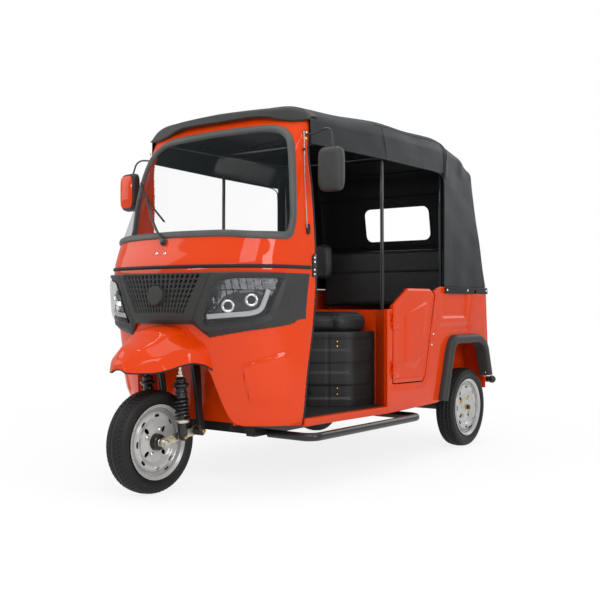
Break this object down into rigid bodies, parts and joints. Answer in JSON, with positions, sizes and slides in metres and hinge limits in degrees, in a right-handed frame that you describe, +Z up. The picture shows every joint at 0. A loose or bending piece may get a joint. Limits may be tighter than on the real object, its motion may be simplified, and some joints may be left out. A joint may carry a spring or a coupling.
{
  "type": "auto rickshaw",
  "caption": "Three-wheeled passenger rickshaw with a moulded cab, open sides, cloth canopy, half doors, steered front wheel and bench seats.",
  "frame": {"origin": "on the ground at the middle of the overall box", "axes": "+Z up, -Y towards the front of the vehicle, +X to the vehicle's left"},
  "size_m": [1.43, 2.637, 1.8149],
  "materials": {
    "body_paint": "glossy orange enamel",
    "grey_plastic": "grained dark grey moulding",
    "black_paint": "satin black enamel",
    "rubber": "matt black rubber",
    "glass": "clear laminated glass",
    "lens": "clear moulded lens",
    "chrome": "bright plating",
    "wheel_paint": "silver wheel enamel",
    "tyre": "black tyre rubber",
    "zinc": "zinc plated steel",
    "vinyl": "dark grey coated cloth",
    "seat_vinyl": "black seat vinyl",
    "tail_red": "red lens"
  },
  "bodies": {
    "root": {"front_cowl": "body_paint", "fascia": "grey_plastic", "grille": "grey_plastic", "headlamp_housings": "chrome", "headlamp_lenses": "lens", "windscreen_glass": "glass", "windscreen_seal": "rubber", "belt_trim": "rubber", "visor": "grey_plastic", "front_fender": "body_paint", "splash_guard": "body_paint", "dashboard": "grey_plastic", "chassis_frame": "black_paint", "floor_pan": "black_paint", "sills": "body_paint", "bulkhead": "body_paint", "side_panels": "body_paint", "tail_panel": "body_paint", "wheel_houses": "body_paint", "wheel_flares": "grey_plastic", "door_hinges": "body_paint", "seat_box": "grey_plastic", "driver_seat": "seat_vinyl", "passenger_seat_base": "black_paint", "battery_box": "black_paint", "passenger_seat": "seat_vinyl", "canopy": "vinyl", "hem_strip": "rubber", "canopy_frame": "black_paint", "step_bars": "black_paint", "rear_bumper": "black_paint", "rear_axle": "black_paint", "motor": "black_paint", "leaf_springs": "black_paint", "mirrors": "grey_plastic", "wiper": "black_paint", "antenna": "chrome", "tail_lamps": "tail_red"},
    "steering": {"steering_fork": "black_paint", "handlebar": "black_paint", "fork_shocks": "black_paint", "swing_arms": "zinc"},
    "front_wheel": {"front_tyre": "tyre", "front_rim": "wheel_paint"},
    "rear_wheel_left": {"rear_left_tyre": "tyre", "rear_left_rim": "wheel_paint"},
    "rear_wheel_right": {"rear_right_tyre": "tyre", "rear_right_rim": "wheel_paint"},
    "door_left_body": {"door_left": "body_paint"},
    "door_right_body": {"door_right": "body_paint"}
  },
  "joints": [
    {"name": "steering_turn", "type": "hinge", "parent": "root", "child": "steering", "pos_m": [0, -0.9155, 0.64], "axis": [0, 0.4067, 0.9135], "range_deg": [-35, 35]},
    {"name": "front_wheel_spin", "type": "hinge", "parent": "steering", "child": "front_wheel", "pos_m": [0, -1.0855, 0.233], "axis": [1, 0, 0], "continuous": true},
    {"name": "rear_left_spin", "type": "hinge", "parent": "root", "child": "rear_wheel_left", "pos_m": [0.526, 0.9535, 0.233], "axis": [1, 0, 0], "continuous": true},
    {"name": "rear_right_spin", "type": "hinge", "parent": "root", "child": "rear_wheel_right", "pos_m": [-0.526, 0.9535, 0.233], "axis": [1, 0, 0], "continuous": true},
    {"name": "door_left_swing", "type": "hinge", "parent": "root", "child": "door_left_body", "pos_m": [0.604, 0.0265, 0.65], "axis": [0, 0, -1], "range_deg": [0, 100]},
    {"name": "door_right_swing", "type": "hinge", "parent": "root", "child": "door_right_body", "pos_m": [-0.604, 0.0265, 0.65], "axis": [0, 0, 1], "range_deg": [0, 100]}
  ]
}
